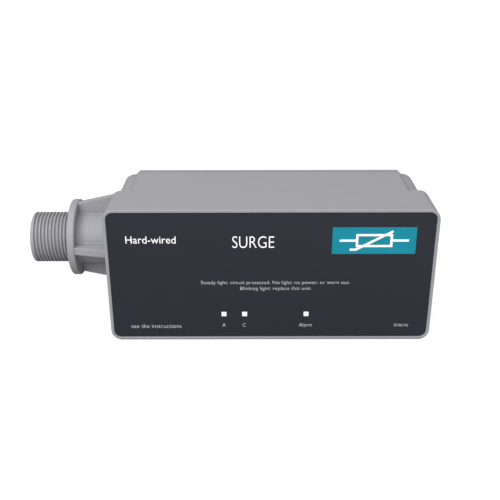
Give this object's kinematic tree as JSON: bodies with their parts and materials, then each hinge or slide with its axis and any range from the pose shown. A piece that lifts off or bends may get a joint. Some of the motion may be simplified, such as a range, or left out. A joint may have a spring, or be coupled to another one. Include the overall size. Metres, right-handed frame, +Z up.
{
  "type": "hard-wired surge protector",
  "caption": "Surge protector for an electrical panel: grey moulded box, dark faceplate with indicator windows, and a flanged, threaded conduit nipple on its left side.",
  "frame": {"origin": "centre of the rear cover's outer face", "axes": "+Y out of the rear face, away from the faceplate; +Z up as the faceplate is read; the nipple points along -X"},
  "size_m": [0.2059, 0.0605, 0.0718],
  "materials": {
    "housing_plastic": "fine moulded texture, light grey",
    "overlay_film": "dark slate printed film, satin",
    "badge_film": "teal printed film, satin",
    "lens_plastic": "white translucent light pipe",
    "seal_rubber": "black rubber",
    "screw_steel": "zinc plated",
    "board_laminate": "green solder mask",
    "varistor_coating": "dipped blue epoxy",
    "fuse_ceramic": "unglazed cream ceramic",
    "film_case": "yellow moulded case",
    "sleeve_film": "black sleeve and moulding compound",
    "resistor_coating": "tan coating",
    "led_clear": "water-clear epoxy",
    "led_red": "red tinted epoxy",
    "terminal_metal": "tin plated",
    "copper": "bare stranded copper",
    "insulation_black": "black insulation",
    "insulation_white": "white insulation",
    "insulation_green": "green insulation"
  },
  "bodies": {
    "root": {"housing": "housing_plastic", "rear_cover": "housing_plastic", "cover_gasket": "seal_rubber", "cover_screw_1": "screw_steel", "cover_screw_2": "screw_steel", "cover_screw_3": "screw_steel", "cover_screw_4": "screw_steel", "faceplate": "overlay_film", "badge": "badge_film", "window_a": "lens_plastic", "window_c": "lens_plastic", "window_alarm": "lens_plastic", "circuit_board": "board_laminate", "board_screw_1": "screw_steel", "board_screw_2": "screw_steel", "board_screw_3": "screw_steel", "board_screw_4": "screw_steel", "varistor_1": "varistor_coating", "varistor_2": "varistor_coating", "varistor_3": "varistor_coating", "varistor_4": "varistor_coating", "varistor_5": "varistor_coating", "varistor_6": "varistor_coating", "thermal_fuse_a": "fuse_ceramic", "thermal_fuse_c": "fuse_ceramic", "thermal_fuse_n": "fuse_ceramic", "film_capacitor_a": "film_case", "film_capacitor_c": "film_case", "electrolytic_capacitor": "sleeve_film", "resistor_a": "resistor_coating", "resistor_c": "resistor_coating", "resistor_alarm": "resistor_coating", "controller_chip": "sleeve_film", "led_a": "led_clear", "led_c": "led_clear", "led_alarm": "led_red", "lead_a": "insulation_black", "conductor_a": "copper", "terminal_a": "terminal_metal", "lead_c": "insulation_black", "conductor_c": "copper", "terminal_c": "terminal_metal", "lead_n": "insulation_white", "conductor_n": "copper", "terminal_n": "terminal_metal", "lead_g": "insulation_green", "conductor_g": "copper", "terminal_g": "terminal_metal", "lead_plug": "seal_rubber"}
  },
  "joints": []
}
